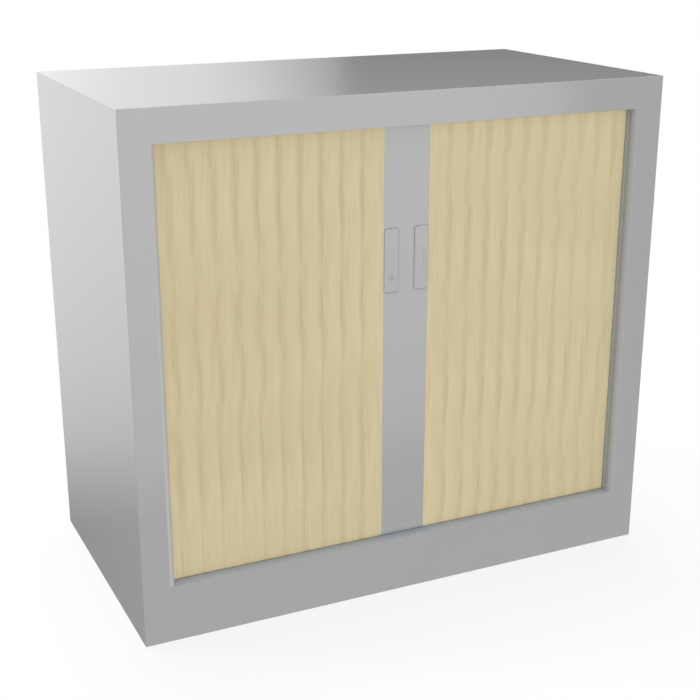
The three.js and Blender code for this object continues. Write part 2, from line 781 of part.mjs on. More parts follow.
// The plinth rails, each with two nuts and two levelling feet.
function plinth() {
  const group = new THREE.Group();
  group.add(...pair("plinth_rail", plinthRail(), finishes.inside));
  for (const [place, y] of [["front", -footY], ["back", footY]]) {
    for (const [side, x] of [["left", -footX], ["right", footX]]) {
      const nut = piece(`foot_nut_${place}_${side}`, footNut(), finishes.zinc);
      const foot = piece(`levelling_foot_${place}_${side}`, levellingFoot(), finishes.foot);
      nut.position.set(x, y, 0);
      foot.position.set(x, y, 0);
      group.add(nut, foot);
    }
  }
  return group;
}

// Both curtains, with their closing profiles, handles and lock.
function curtains() {
  const group = new THREE.Group();
  const { profile, handle, lock, zinc } = finishes;
  const leftHandle = piece("handle_left", leftPull(), handle);
  const rightHandle = piece("handle_right", rightPull(), handle);
  const barrel = piece("lock_barrel", lockBarrel(), lock);
  const cam = piece("lock_cam", lockCam(), zinc);
  leftHandle.position.x = -PULL_CENTRE;
  rightHandle.position.x = PULL_CENTRE;
  barrel.position.x = -PULL_CENTRE;
  cam.position.x = -PULL_CENTRE;
  group.add(...slats(-1), ...slats(1));
  group.add(piece("closing_profile_left", leadWithLock(), profile));
  group.add(piece("closing_profile_right", lead(), profile));
  group.add(leftHandle, rightHandle, barrel, cam, piece("lock_keeper", lockKeeper(), zinc));
  return group;
}

const cupboard = new THREE.Group();
cupboard.add(carcass(), shelving(), plinth(), curtains());

export default cupboard;
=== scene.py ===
"""A desk-high tambour door cabinet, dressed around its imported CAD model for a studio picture."""

import logging
import math
from collections.abc import Callable, Iterable
from dataclasses import dataclass
from enum import Enum

import bmesh
import bpy
from bmesh.types import BMEdge, BMesh, BMVert
from mathutils import Euler, Matrix, Vector


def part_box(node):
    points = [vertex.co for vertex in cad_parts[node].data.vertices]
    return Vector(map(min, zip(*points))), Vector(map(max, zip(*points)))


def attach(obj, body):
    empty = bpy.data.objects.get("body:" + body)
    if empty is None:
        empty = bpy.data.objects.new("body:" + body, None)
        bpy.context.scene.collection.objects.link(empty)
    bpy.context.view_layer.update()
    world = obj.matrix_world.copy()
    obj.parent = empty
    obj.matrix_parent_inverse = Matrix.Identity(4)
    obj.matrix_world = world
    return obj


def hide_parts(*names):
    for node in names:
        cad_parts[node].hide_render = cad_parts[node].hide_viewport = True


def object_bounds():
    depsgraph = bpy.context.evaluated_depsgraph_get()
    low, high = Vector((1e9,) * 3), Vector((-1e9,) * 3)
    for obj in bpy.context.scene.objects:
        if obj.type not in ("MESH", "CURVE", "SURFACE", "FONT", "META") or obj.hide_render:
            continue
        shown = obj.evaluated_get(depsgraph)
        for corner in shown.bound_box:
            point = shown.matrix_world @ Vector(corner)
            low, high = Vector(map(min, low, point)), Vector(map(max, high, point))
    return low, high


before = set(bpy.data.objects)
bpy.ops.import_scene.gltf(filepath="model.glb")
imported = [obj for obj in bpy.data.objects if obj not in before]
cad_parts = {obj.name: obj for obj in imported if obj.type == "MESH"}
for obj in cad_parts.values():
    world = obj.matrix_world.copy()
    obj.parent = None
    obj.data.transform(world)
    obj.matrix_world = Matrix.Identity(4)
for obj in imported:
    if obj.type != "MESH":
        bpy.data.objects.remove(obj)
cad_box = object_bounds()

log = logging.getLogger("cupboard")

Material = bpy.types.Material
Triple = tuple[float, float, float]
Colour = Triple
Outline = list[tuple[float, float]]
Stops = tuple[tuple[float, Colour | float], ...]
EdgeTest = Callable[[Vector, Vector], bool]

SLAT_PLACE = "slat_place"
CARCASS_BODY = "carcass"
SAME_POINT = 1e-6
SAME_FACE = 1e-5
FLAT = math.radians(1)
SMOOTH_BELOW = math.radians(38)
SHARP_ABOVE = math.radians(50)
SMALL_ROUND = 0.0003
FLAT_FACE_WEIGHT = 100
SECOND_FINISH = 1
FLECK_SCALE = 1500.0


class Word(Enum):
    """A choice whose name is also a word in the names of nodes and bodies."""

    @property
    def word(self) -> str:
        """The word."""
        return self.name.lower()


class Side(Word):
    """A side of the cupboard, seen from the front, with the sign of its X."""

    LEFT = -1
    RIGHT = 1


class Place(Word):
    """Where a foot or a shelf clip stands, from front to back."""

    FRONT = -1
    BACK = 1


class Slot(Enum):
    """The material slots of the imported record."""

    CARCASS = "carcass_paint"
    INSIDE = "inner_paint"
    SLAT = "beech_slat"
    PROFILE = "profile_finish"
    HANDLE = "handle_plastic"
    LOCK = "lock_metal"
    ZINC = "zinc_plate"
    GUIDE = "guide_plastic"
    FOOT = "foot_plastic"


PRINT_SHIFT = {Side.LEFT: 0.0, Side.RIGHT: 0.31}


def linear(red: float, green: float, blue: float) -> Colour:
    """Turns a screen colour into the linear values that shaders take.

    Args:
        red: The red level, 0 to 255.
        green: The green level, 0 to 255.
        blue: The blue level, 0 to 255.

    Returns:
        The three linear values, 0 to 1.
    """

    def decode(level: float) -> float:
        """One channel from its screen level."""
        share = level / 255
        return share / 12.92 if share <= 0.04045 else ((share + 0.055) / 1.055) ** 2.4

    return decode(red), decode(green), decode(blue)


SILVER = linear(184, 184, 184)


class Signal:
    """A shader socket on which Python's operators add Math nodes."""

    def __init__(self, graph: "Graph", socket: bpy.types.NodeSocket) -> None:
        """Wraps a socket of a graph."""
        self.graph = graph
        self.socket = socket

    def _math(self, operation: str, *values: "Signal | float") -> "Signal":
        """Adds a Math node that works on these values."""
        return self.graph.signal("ShaderNodeMath", {"operation": operation}, dict(enumerate(values)))

    def __add__(self, other: "Signal | float") -> "Signal":
        """The sum."""
        return self._math("ADD", self, other)

    def __radd__(self, other: float) -> "Signal":
        """The sum, with the number first."""
        return self._math("ADD", other, self)

    def __sub__(self, other: "Signal | float") -> "Signal":
        """The difference."""
        return self._math("SUBTRACT", self, other)

    def __rsub__(self, other: float) -> "Signal":
        """The difference from a number."""
        return self._math("SUBTRACT", other, self)

    def __mul__(self, other: "Signal | float") -> "Signal":
        """The product."""
        return self._math("MULTIPLY", self, other)

    def __rmul__(self, other: float) -> "Signal":
        """The product, with the number first."""
        return self._math("MULTIPLY", other, self)

    def __truediv__(self, other: "Signal | float") -> "Signal":
        """The quotient."""
        return self._math("DIVIDE", self, other)

    def __gt__(self, other: "Signal | float") -> "Signal":
        """1 where this is greater, and 0 elsewhere."""
        return self._math("GREATER_THAN", self, other)

    def __pow__(self, other: "Signal | float") -> "Signal":
        """The power."""
        return self._math("POWER", self, other)

    def part(self) -> "Signal":
        """What is left of a number above its whole part."""
        return self._math("FRACT", self)

    def size(self) -> "Signal":
        """The number without its sign."""
        return self._math("ABSOLUTE", self)

    def rising(self, start: float, end: float) -> "Signal":
        """A smooth step that leaves 0 at the start and reaches 1 at the end."""
        inputs = {"Value": self, "From Min": start, "From Max": end}
        return self.graph.signal("ShaderNodeMapRange", {"interpolation_type": "SMOOTHSTEP"}, inputs)


class Graph:
    """The node tree of one material or of the world."""

    def __init__(self, tree: bpy.types.NodeTree) -> None:
        """Empties a node tree and takes it over."""
        tree.nodes.clear()
        self.tree = tree

    def node(
        self, kind: str, settings: dict | None = None, inputs: dict | None = None
    ) -> bpy.types.Node:
        """Adds a node.

        Args:
            kind: The node's type.
            settings: Its settings, set first. A ramp's stops are pairs of place and colour.
            inputs: Values or signals for its sockets, by number, name or identifier.

        Returns:
            The new node.
        """
        made = self.tree.nodes.new(kind)
        for name, value in (settings or {}).items():
            if name == "stops":
                self._set_stops(made.color_ramp, value)
            else:
                setattr(made, name, value)
        for key, value in (inputs or {}).items():
            socket = self._socket(made.inputs, key)
            if isinstance(value, Signal):
                self.tree.links.new(value.socket, socket)
            else:
                socket.default_value = value
        return made

    def signal(
        self,
        kind: str,
        settings: dict | None = None,
        inputs: dict | None = None,
        output: str | int = 0,
    ) -> Signal:
        """Adds a node and wraps the output with this number, name or identifier."""
        made = self.node(kind, settings, inputs)
        return Signal(self, self._socket(made.outputs, output))

    @staticmethod
    def _socket(sockets: bpy.types.bpy_prop_collection, key: str | int) -> bpy.types.NodeSocket:
        """Finds a socket.

        Args:
            sockets: A node's inputs or outputs.
            key: The socket's number, identifier or name.

        Returns:
            The socket.
        """
        if isinstance(key, int):
            return sockets[key]
        found = [s for s in sockets if s.identifier == key]
        return found[0] if found else next(s for s in sockets if s.name == key and s.enabled)

    @staticmethod
    def _set_stops(ramp: bpy.types.ColorRamp, stops: Stops) -> None:
        """Writes a ramp's stops over the two that it starts with.

        Args:
            ramp: The ramp.
            stops: Pairs of place and colour, or of place and grey level.
        """
        for number, (place, value) in enumerate(stops):
            stop = ramp.elements[number] if number < 2 else ramp.elements.new(place)
            stop.position = place
            stop.color = (*value, 1.0) if isinstance(value, tuple) else (value, value, value, 1.0)

    def axes(self, vector: Signal) -> tuple[Signal, Signal, Signal]:
        """Splits a vector into its three values."""
        made = self.node("ShaderNodeSeparateXYZ", None, {"Vector": vector})
        return Signal(self, made.outputs[0]), Signal(self, made.outputs[1]), Signal(self, made.outputs[2])

    def place(self) -> Signal:
        """The point's place on the piece, in metres."""
        return self.signal("ShaderNodeTexCoord", None, None, "Object")

    def rays(self) -> tuple[Signal, Signal]:
        """1 for what the camera sees directly, and 1 for what gloss mirrors."""
        path = self.node("ShaderNodeLightPath")
        return Signal(self, path.outputs["Is Camera Ray"]), Signal(self, path.outputs["Is Glossy Ray"])

    def noise(self, vector: Signal, scale: float, detail: float = 2.0, roughness: float = 0.5) -> Signal:
        """Soft noise from 0 to 1, with so many features to a unit and finer layers over them."""
        inputs = {"Vector": vector, "Scale": scale, "Detail": detail, "Roughness": roughness}
        return self.signal("ShaderNodeTexNoise", None, inputs, "Fac")

    def grain(
        self,
        x: Signal | float,
        y: Signal | float,
        z: Signal | float,
        detail: float = 2.0,
        roughness: float = 0.5,
    ) -> Signal:
        """Soft noise from 0 to 1, read at three values that may be stretched apart."""
        place = self.signal("ShaderNodeCombineXYZ", None, {"X": x, "Y": y, "Z": z})
        return self.noise(place, 1.0, detail, roughness)

    def ramp(self, factor: Signal, stops: Stops) -> Signal:
        """Looks a value up on a ramp of stops."""
        return self.signal("ShaderNodeValToRGB", {"stops": stops}, {"Fac": factor}, "Color")

    def scaled(self, colour: Signal | Colour, share: Signal) -> Signal:
        """Makes a colour lighter or darker."""
        inputs = {"Vector": colour, "Scale": share}
        return self.signal("ShaderNodeVectorMath", {"operation": "SCALE"}, inputs)

    def blend(
        self,
        factor: Signal | float,
        first: Signal | Colour,
        second: Signal | Colour,
        way: str = "MIX",
    ) -> Signal:
        """Puts one colour over another.

        Args:
            factor: How much of the second colour shows.
            first: The colour below.
            second: The colour above.
            way: How they meet, as the Mix node calls it.

        Returns:
            The resulting colour.
        """
        colours = [c if isinstance(c, Signal) else (*c, 1.0) for c in (first, second)]
        inputs = {"Factor_Float": factor, "A_Color": colours[0], "B_Color": colours[1]}
        settings = {"data_type": "RGBA", "blend_type": way}
        return self.signal("ShaderNodeMix", settings, inputs, "Result_Color")

    def either(self, factor: Signal | float, first: Signal, second: Signal) -> Signal:
        """Passes from one shader to another."""
        return self.signal("ShaderNodeMixShader", None, {0: factor, 1: first, 2: second})

    def glow(self, level: float) -> Signal:
        """A shader that shines evenly in a grey of this level."""
        inputs = {"Color": (level, level, level, 1.0), "Strength": 1.0}
        return self.signal("ShaderNodeEmission", None, inputs, "Emission")

    def bump(self, height: Signal, distance: float) -> Signal:
        """A normal from a height, where a height of 1 stands out by this many metres."""
        return self.signal("ShaderNodeBump", None, {"Height": height, "Distance": distance}, "Normal")

    def surface(self, **sockets: Signal | float | Colour) -> None:
        """Ends a material in a Principled shader.

        Args:
            sockets: Its inputs, with underscores for spaces.
        """
        inputs = {}
        for name, value in sockets.items():
            plain = isinstance(value, tuple) and len(value) == 3
            inputs[name.replace("_", " ")] = (*value, 1.0) if plain else value
        shader = self.signal("ShaderNodeBsdfPrincipled", None, inputs, "BSDF")
        self.node("ShaderNodeOutputMaterial", None, {"Surface": shader})


def new_graph(name: str) -> tuple[Material, Graph]:
    """Makes an empty material.

    Args:
        name: The material's name.

    Returns:
        The material and its graph.
    """
    material = bpy.data.materials.new(name)
    material.use_nodes = True
    return material, Graph(material.node_tree)


@dataclass(frozen=True)
class Finish:
    """A finish that pieces are given, under its material's name."""

    name: str

    def material(self) -> Material:
        """Builds the finish's material.

        Returns:
            The material.
        """
        material, graph = new_graph(self.name)
        self.paint(graph)
        return material

    def paint(self, graph: Graph) -> None:
        """Adds the finish's nodes, which each kind of finish does in its own way."""
        raise NotImplementedError


@dataclass(frozen=True)
class PowderCoat(Finish):
    """Stoved powder paint on sheet steel: a grey body under a clear, nearly smooth skin."""

    colour: Colour
    roughness: float = 0.085
    index: float = 1.8
    mottle: float = 0.03
    unevenness: float = 0.03
    cloud_scale: float = 9.0
    peel_scale: float = 420.0
    peel_height: float = 0.000012

    def paint(self, graph: Graph) -> None:
        """Mottles the paint, and gives its skin a faint peel.

        Args:
            graph: The material's graph.
        """
        place = graph.place()
        cloud = graph.noise(place, self.cloud_scale, 3.0)
        fleck = graph.noise(place, FLECK_SCALE, 1.0)
        peel = graph.noise(place, self.peel_scale, 1.0)
        graph.surface(
            Base_Color=graph.scaled(self.colour, 1.0 - self.mottle * (cloud + fleck - 1.0)),
            Roughness=self.roughness + self.unevenness * (cloud - 0.5),
            IOR=self.index,
            Normal=graph.bump(peel, self.peel_height),
        )


@dataclass(frozen=True)
class PaintedLightSillCoat(Finish):
    """Matt paint on the opening's sill, paler than the paint and palest at its front: painted light."""

    name: str = "silver_sill_coat"
    front: Colour = linear(206, 215, 229)
    back: Colour = linear(190, 200, 214)
    turn: float = -0.2065
    spread: float = 0.0022
    mottle: float = 0.1
    roughness: float = 0.5
    index: float = 1.25
    relief: float = 0.00001

    def paint(self, graph: Graph) -> None:
        """Turns from the front colour to the back one along Y, painting light on the front edge.

        Args:
            graph: The material's graph.
        """
        place = graph.place()
        _, y, _ = graph.axes(place)
        fleck = graph.noise(place, FLECK_SCALE, 1.0)
        # Painted light: paler towards the sill's front edge.
        backwards = y.rising(self.turn - self.spread, self.turn + self.spread)
        graph.surface(
            Base_Color=graph.blend(backwards + self.mottle * (fleck - 0.5), self.front, self.back),
            Roughness=self.roughness,
            IOR=self.index,
            Normal=graph.bump(fleck, self.relief),
        )


@dataclass(frozen=True)
class BeechFoil(Finish):
    """Printed wood foil on a slat, with the same length of print on every slat of a door."""

    name: str = "beech_foil"
    light: Colour = linear(232, 218, 181)
    middle: Colour = linear(223, 208, 168)
    dark: Colour = linear(205, 188, 144)
    # How much painted light lightens the outermost strips of a slat.
    rim: float = 0.08
    pore_ink: float = 0.35
    gloss: float = 0.46
    relief: float = 0.00005

    def paint(self, graph: Graph) -> None:
        """Prints the wood's figure from layers of drawn-out noise, and paints shade and light at the
        edges.

        Args:
            graph: The material's graph.
        """
        mark = graph.signal("ShaderNodeAttribute", {"attribute_name": SLAT_PLACE}, None, "Vector")
        across, along, serial = graph.axes(mark)
        sway = graph.grain(across * 0.35, along * 7.0, serial * 0.05) - 0.5
        x = across + sway * 1.3
        # Growth rings: wide clouds, bands and fine lines, and arches about the heart.
        broad = graph.grain(x * 1.1, along * 4.2, serial * 0.12)
        bands = graph.grain(x * 3.4, along * 3.1, serial * 0.1 + 7.0, 3.0)
        fine = graph.grain(x * 10.0, along * 9.0, serial * 0.3 + 3.0, 3.0, 0.65)
        hearts = (along * 5.3 + x * x * 0.55 + broad * 1.6).part()
        heart = hearts.rising(0.0, 0.5) * (1.0 - hearts.rising(0.86, 1.0))
        pore = graph.grain(x * 34.0, along * 95.0, serial, 2.0, 0.7).rising(0.64, 0.74)
        # Painted shade along the wavy edges, save where the first slat meets the closing profile.
        beside_profile = (1.0 - (serial > 1.5)) * (1.0 - (across > 0.0))
        wave = graph.grain(serial * 0.07, along * 19.0, 23.0, 1.0) - 0.5
        edge = (across + 1.1 * wave).size().rising(0.4, 1.0) * (1.0 - beside_profile)
        lively = graph.grain(0.0, along * 8.0, 11.0, 1.0).rising(0.4, 0.6)
        dashes = graph.grain(x * 4.0, along * 44.0, serial * 0.4).rising(0.48, 0.64)
        dash = dashes * across.size().rising(0.55, 0.9) * lively
        tone = 0.3 * broad + 0.32 * bands + 0.3 * fine + 0.1 * heart + 0.19 * edge + 0.1 * dash - 0.04
        body = graph.ramp(tone, ((0.18, self.light), (0.5, self.middle), (0.92, self.dark)))
        streaked = graph.blend(pore * self.pore_ink, body, self.dark)
        # Painted light on the outermost strips, against the shade where the slats meet.
        rim = across.size().rising(0.84, 0.99)
        graph.surface(
            Base_Color=graph.scaled(streaked, 1.0 + self.rim * rim),
            Roughness=self.gloss + 0.08 * (bands - 0.5) + 0.06 * pore,
            Normal=graph.bump(fine * 0.6 - pore * 0.4, self.relief),
        )


@dataclass(frozen=True)
class MouldedPlastic(Finish):
    """Injection-moulded plastic with a fine spark-eroded grain."""

    colour: Colour
    roughness: float = 0.34
    grain: float = 1400.0
    relief: float = 0.00002
    unevenness: float = 0.08
    cloud_scale: float = 60.0

    def paint(self, graph: Graph) -> None:
        """Clouds the colour a little and grains the skin.

        Args:
            graph: The material's graph.
        """
        place = graph.place()
        grain = graph.noise(place, self.grain)
        cloud = graph.noise(place, self.cloud_scale)
        graph.surface(
            Base_Color=graph.scaled(self.colour, 0.97 + 0.04 * cloud + 0.02 * grain),
            Roughness=self.roughness + self.unevenness * (grain - 0.5),
            Normal=graph.bump(grain, self.relief),
        )


@dataclass(frozen=True)
class DrawnPlastic(Finish):
    """Extruded plastic with faint die lines along the axis where their scale is least."""

    colour: Colour
    lines: Triple
    dust_colour: Colour = linear(150, 150, 148)
    dust_scale: float = 35.0
    dust_dulling: float = 0.15
    roughness: float = 0.42
    relief: float = 0.00003

    def paint(self, graph: Graph) -> None:
        """Draws the die lines and dusts them.

        Args:
            graph: The material's graph.
        """
        place = graph.place()
        stretched = graph.signal(
            "ShaderNodeVectorMath", {"operation": "MULTIPLY"}, {0: place, 1: self.lines}
        )
        line = graph.noise(stretched, 1.0)
        dust = graph.noise(place, self.dust_scale, 4.0).rising(0.45, 0.8)
        graph.surface(
            Base_Color=graph.blend(dust * 0.25 + line * 0.2, self.colour, self.dust_colour),
            Roughness=self.roughness + self.dust_dulling * dust,
            Normal=graph.bump(line, self.relief),
        )


@dataclass(frozen=True)
class PlatedMetal(Finish):
    """Steel or brass under a thin bright plating, slightly clouded."""

    colour: Colour
    roughness: float
    cloud_scale: float
    clouding: float
    relief: float = 0.00001

    def paint(self, graph: Graph) -> None:
        """Clouds the plating in crystals and in wider clouds.

        Args:
            graph: The material's graph.
        """
        place = graph.place()
        inputs = {"Vector": place, "Scale": self.cloud_scale}
        crystal, _, _ = graph.axes(graph.signal("ShaderNodeTexVoronoi", None, inputs, "Color"))
        cloud = graph.noise(place, self.cloud_scale * 0.4, 3.0)
        graph.surface(
            Base_Color=graph.scaled(self.colour, 1.0 - self.clouding * (0.5 * crystal + 0.5 * cloud)),
            Metallic=1.0,
            Roughness=self.roughness + 0.5 * self.clouding * cloud,
            Normal=graph.bump(cloud, self.relief),
        )


@dataclass
class Finishes:
    """The material of every finish of the cupboard, made once and shared by its pieces."""

    paint: Material
    # The jamb, sill and handle edge coats are paler or darker copies of the paint: painted light and
    # shade.
    jamb: Material
    left_jamb: Material
    edging: Material
    sill: Material
    inside: Material
    profile: Material
    foil: Material
    handle: Material
    handle_edge: Material
    nickel: Material
    zinc: Material
    guide_across: Material
    guide_along: Material
    foot: Material

    @classmethod
    def made(cls) -> "Finishes":
        """Builds all materials.

        Returns:
            The materials.
        """
        guide = linear(172, 173, 176)
        finishes = {
            "paint": PowderCoat("silver_powder_coat", SILVER),
            # The right jamb's matt copy of the paint, a little darker, is painted shade.
            "jamb": PowderCoat("silver_jamb_coat", linear(179, 179, 179), 0.5, 1.35),
            # The left jamb's paler matt copy of the paint is painted light.
            "left_jamb": PowderCoat("silver_left_jamb_coat", linear(198, 198, 198), 0.5, 1.35),
            "edging": MouldedPlastic("grey_edging_plastic", linear(181, 190, 203), 0.45, relief=0.00001),
            # The sill's paler, bluer matt paint is painted light.
            "sill": PaintedLightSillCoat(),
            "inside": PowderCoat("silver_powder_coat_inside", linear(180, 180, 180), 0.3, 1.5),
            "profile": PowderCoat("silver_profile_coat", SILVER, 0.1),
            "foil": BeechFoil(),
            "handle": PowderCoat("silver_handle_coat", SILVER, 0.12),
            # The handles' left and upper faces get this paler copy of the paint as painted light.
            "handle_edge": PowderCoat("silver_handle_edge_coat", linear(200, 200, 201), 0.4, 1.35),
            "nickel": PlatedMetal("satin_nickel_plate", linear(240, 239, 236), 0.42, 900.0, 0.06),
            "zinc": PlatedMetal("bright_zinc_plate", linear(206, 209, 214), 0.3, 260.0, 0.2),
            "guide_across": DrawnPlastic("grey_guide_across", guide, (6.0, 1400.0, 1400.0)),
            "guide_along": DrawnPlastic("grey_guide_along", guide, (1400.0, 6.0, 1400.0)),
            "foot": MouldedPlastic("black_foot_plastic", linear(44, 44, 45), 0.5, 900.0, 0.00004),
        }
        return cls(**{use: finish.material() for use, finish in finishes.items()})


def mesh_of(shape: BMesh, name: str) -> bpy.types.Mesh:
    """Turns a shape into a mesh.

    Args:
        shape: The shape. It is freed.
        name: The mesh's name.

    Returns:
        The mesh.
    """
    mesh = bpy.data.meshes.new(name)
    shape.to_mesh(mesh)
    shape.free()
    return mesh


def linked(name: str, data: bpy.types.ID) -> bpy.types.Object:
    """Puts a mesh, a lamp or a camera in the scene.

    Args:
        name: The new object's name.
        data: What it shows.

    Returns:
        The object.
    """
    thing = bpy.data.objects.new(name, data)
    bpy.context.scene.collection.objects.link(thing)
    return thing


def facing(way: Vector) -> Euler:
    """The turn that points a lamp or a camera this way."""
    return way.to_track_quat("-Z", "Y").to_euler()


def finished(
    shape: BMesh,
    name: str,
    body: str,
    slot: Slot,
    material: Material,
    stands_for: Iterable[str] = (),
    weighted: bool = False,
) -> bpy.types.Object:
    """Turns a shape into a piece of the cupboard that rides on its body.

    Args:
        shape: The shape, in metres in the cupboard's frame. It is freed.
        name: The piece's name.
        body: The CAD body that it moves with.
        slot: The record's material slot. Not used.
        material: Its finish.
        stands_for: The CAD nodes that it replaces.
        weighted: Whether its flat faces keep their normals beside rounded edges.

    Returns:
        The piece.
    """
    mesh = mesh_of(shape, name)
    mesh.materials.append(material)
    mesh.polygons.foreach_set("use_smooth", [True] * len(mesh.polygons))
    mesh.set_sharp_from_angle(angle=SMOOTH_BELOW)
    piece = linked(name, mesh)
    if weighted:
        normals = piece.modifiers.new("flat_faces", "WEIGHTED_NORMAL")
        normals.keep_sharp = True
        normals.weight = FLAT_FACE_WEIGHT
    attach(piece, body)
    nodes = tuple(stands_for)
    if nodes:
        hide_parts(*nodes)
    log.info("%s rides on %s, %d faces", name, body, len(mesh.polygons))
    return piece


def dressed(node: str, material: Material) -> None:
    """Gives a CAD node its finish and leaves its shape.

    Args:
        node: The node's name.
        material: The finish.
    """
    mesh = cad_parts[node].data
    mesh.materials.clear()
    mesh.materials.append(material)
    log.info("%s keeps its CAD shape", node)


def merged_copy(node: str) -> BMesh:
    """Copies a CAD node's mesh, with its loose triangles joined and its flat faces made whole.

    Args:
        node: The CAD node's name.

    Returns:
        The copy as a shape.
    """
    shape = bmesh.new()
    shape.from_mesh(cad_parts[node].data)
    bmesh.ops.remove_doubles(shape, verts=shape.verts[:], dist=SAME_POINT)
    bmesh.ops.dissolve_limit(
        shape,
        angle_limit=FLAT,
        use_dissolve_boundaries=False,
        verts=shape.verts[:],
        edges=shape.edges[:],
        delimit={"NORMAL"},
    )
    return shape


def round_edges(shape: BMesh, edges: Iterable[BMEdge], radius: float, segments: int = 2) -> None:
    """Rounds edges of a shape.

    Args:
        shape: The shape.
        edges: The edges to round.
        radius: How far the rounding reaches from each edge.
        segments: How many faces make it.
    """
    bmesh.ops.bevel(
        shape,
        geom=list(edges),
        offset=radius,
        offset_type="OFFSET",
        segments=segments,
        profile=0.5,
        affect="EDGES",
        clamp_overlap=True,
        material=-1,
    )


def sharp_edges(shape: BMesh, wanted: EdgeTest | None = None) -> list[BMEdge]:
    """Finds the sharp edges of a shape.

    Args:
        shape: The shape.
        wanted: Says of an edge's two ends whether it counts. Without it, every sharp edge counts.

    Returns:
        The edges.
    """
    shape.normal_update()
    return [
        edge
        for edge in shape.edges
        if len(edge.link_faces) == 2
        and edge.calc_face_angle(0.0) > SHARP_ABOVE
        and (wanted is None or wanted(edge.verts[0].co, edge.verts[1].co))
    ]


def refined(
    node: str,
    make: str,
    body: str,
    slot: Slot,
    material: Material,
    radius: float,
    wanted: EdgeTest | None = None,
) -> bpy.types.Object:
    """Puts a copy of a CAD node with rounded edges in the node's place.

    Args:
        node: The CAD node.
        make: The word that the piece's name adds to the node's.
        body: The CAD body that it moves with.
        slot: Its material slot.
        material: Its finish.
        radius: The rounding of its edges.
        wanted: Says which sharp edges are rounded.

    Returns:
        The piece.
    """
    shape = merged_copy(node)
    round_edges(shape, sharp_edges(shape, wanted), radius)
    return finished(shape, f"{node}_{make}", body, slot, material, [node], weighted=True)


def move(shape: BMesh, way: Vector | Triple) -> None:
    """Moves a whole shape."""
    bmesh.ops.translate(shape, vec=way, verts=shape.verts[:])


def turn_back(shape: BMesh) -> None:
    """Turns a shape that stands up along Z so that it lies along Y, with its top at the back."""
    quarter = Matrix.Rotation(-math.pi / 2, 3, "X")
    bmesh.ops.rotate(shape, cent=(0, 0, 0), matrix=quarter, verts=shape.verts[:])


def turned(profile: Outline, steps: int) -> BMesh:
    """Turns a closed solid about Z.

    Args:
        profile: Points as (radius, height), from the axis out and back to the axis.
        steps: How many steps make the full turn.

    Returns:
        The solid as a shape.
    """
    shape = bmesh.new()
    corners = [shape.verts.new((radius, 0.0, height)) for radius, height in profile]
    for first, second in zip(corners, corners[1:]):
        shape.edges.new((first, second))
    bmesh.ops.spin(
        shape,
        geom=shape.verts[:] + shape.edges[:],
        cent=(0, 0, 0),
        axis=(0, 0, 1),
        angle=2 * math.pi,
        steps=steps,
        use_merge=True,
    )
    bmesh.ops.remove_doubles(shape, verts=shape.verts[:], dist=SAME_POINT)
    bmesh.ops.recalc_face_normals(shape, faces=shape.faces[:])
    return shape


def rounded_block(low: Vector, high: Vector, radius: float, segments: int = 2) -> BMesh:
    """A block with all its edges rounded.

    Args:
        low: Its lowest corner.
        high: Its highest corner.
        radius: The rounding.
        segments: How many faces make each rounding.

    Returns:
        The block as a shape.
    """
    shape = bmesh.new()
    bmesh.ops.create_cube(shape, size=1.0)
    bmesh.ops.scale(shape, vec=high - low, verts=shape.verts[:])
    move(shape, (low + high) / 2)
    round_edges(shape, shape.edges[:], radius, segments)
    return shape


def joined(shapes: Iterable[BMesh]) -> BMesh:
    """Puts several shapes into one.

    Args:
        shapes: The shapes. They are freed.

    Returns:
        One shape with all of them.
    """
    whole = bmesh.new()
    for number, shape in enumerate(shapes):
        step = mesh_of(shape, f"step_{number}")
        whole.from_mesh(step)
        bpy.data.meshes.remove(step)
    return whole


